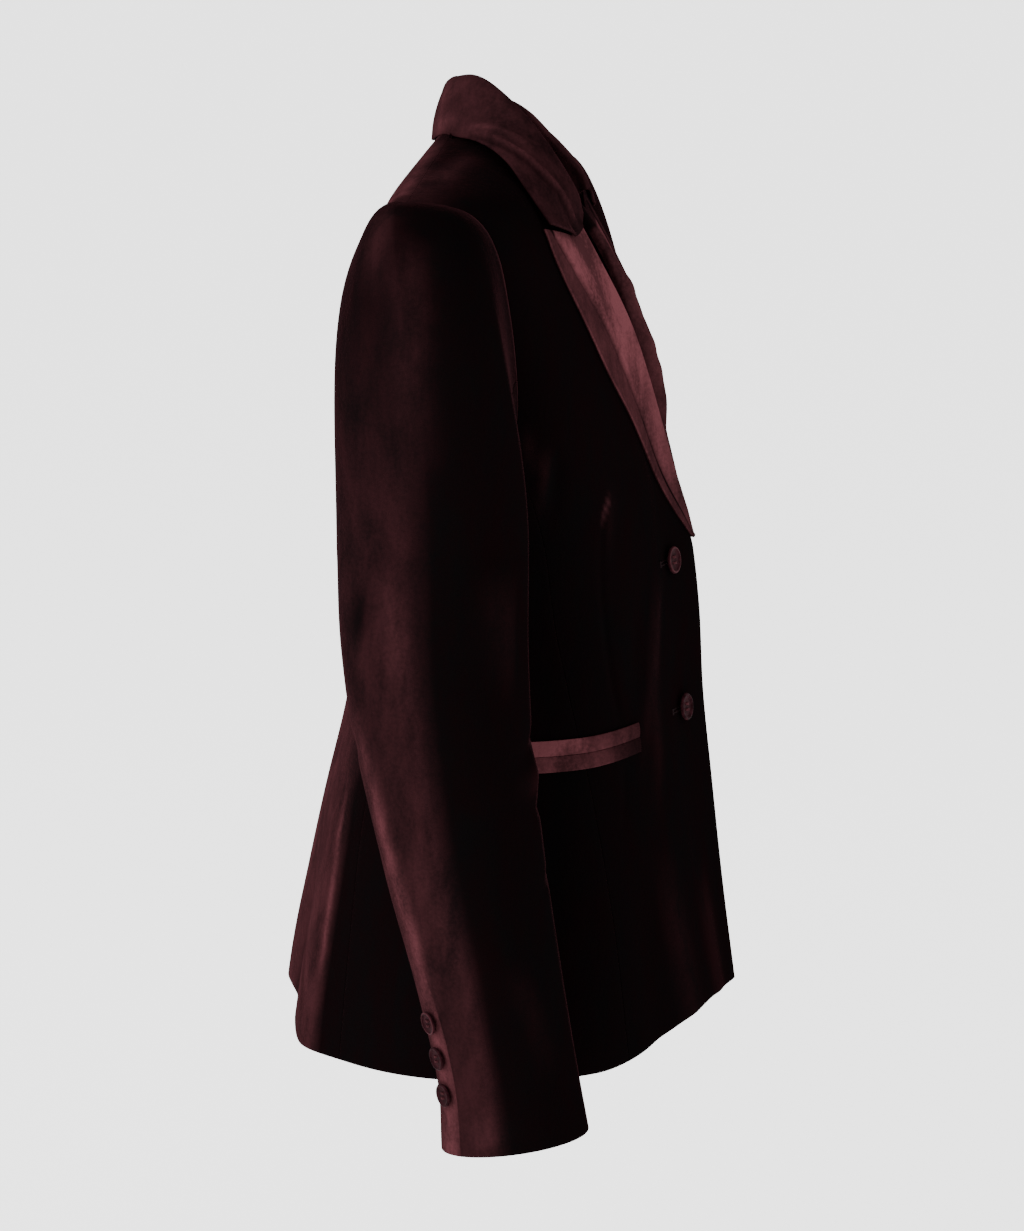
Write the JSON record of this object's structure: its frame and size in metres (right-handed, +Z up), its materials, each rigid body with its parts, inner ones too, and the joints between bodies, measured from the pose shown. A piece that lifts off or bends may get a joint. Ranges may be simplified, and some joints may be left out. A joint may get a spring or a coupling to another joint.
{
  "type": "peak-lapel blazer",
  "caption": "Fitted single-breasted velvet blazer with peak lapels, folded collar, two-piece sleeves, double-welt pockets and a flared skirt, filled out as worn and hollow.",
  "frame": {"origin": "between the shoulders at the height of the nape, where the wearer's shoulders carry the garment", "axes": "+Z up, +X to the wearer's left, -Y to the wearer's front"},
  "size_m": [0.5422, 0.2964, 0.6533],
  "materials": {
    "velvet": "dark burgundy cotton velvet",
    "velvet_nap_up": "burgundy velvet laid with the nap up, brighter",
    "button": "polished burgundy"
  },
  "bodies": {
    "root": {"front_right": "velvet", "side_right": "velvet", "back_right": "velvet", "sleeve_upper_right": "velvet", "sleeve_under_right": "velvet", "front_left": "velvet", "side_left": "velvet", "back_left": "velvet", "sleeve_upper_left": "velvet", "sleeve_under_left": "velvet", "collar": "velvet", "lapel_right": "velvet_nap_up", "pocket_welt_upper_right": "velvet_nap_up", "pocket_welt_lower_right": "velvet_nap_up", "lapel_left": "velvet_nap_up", "pocket_welt_upper_left": "velvet_nap_up", "pocket_welt_lower_left": "velvet_nap_up", "button_front_upper": "button", "button_front_lower": "button", "button_cuff_right_1": "button", "button_cuff_right_2": "button", "button_cuff_right_3": "button", "button_cuff_left_1": "button", "button_cuff_left_2": "button", "button_cuff_left_3": "button"}
  },
  "joints": []
}
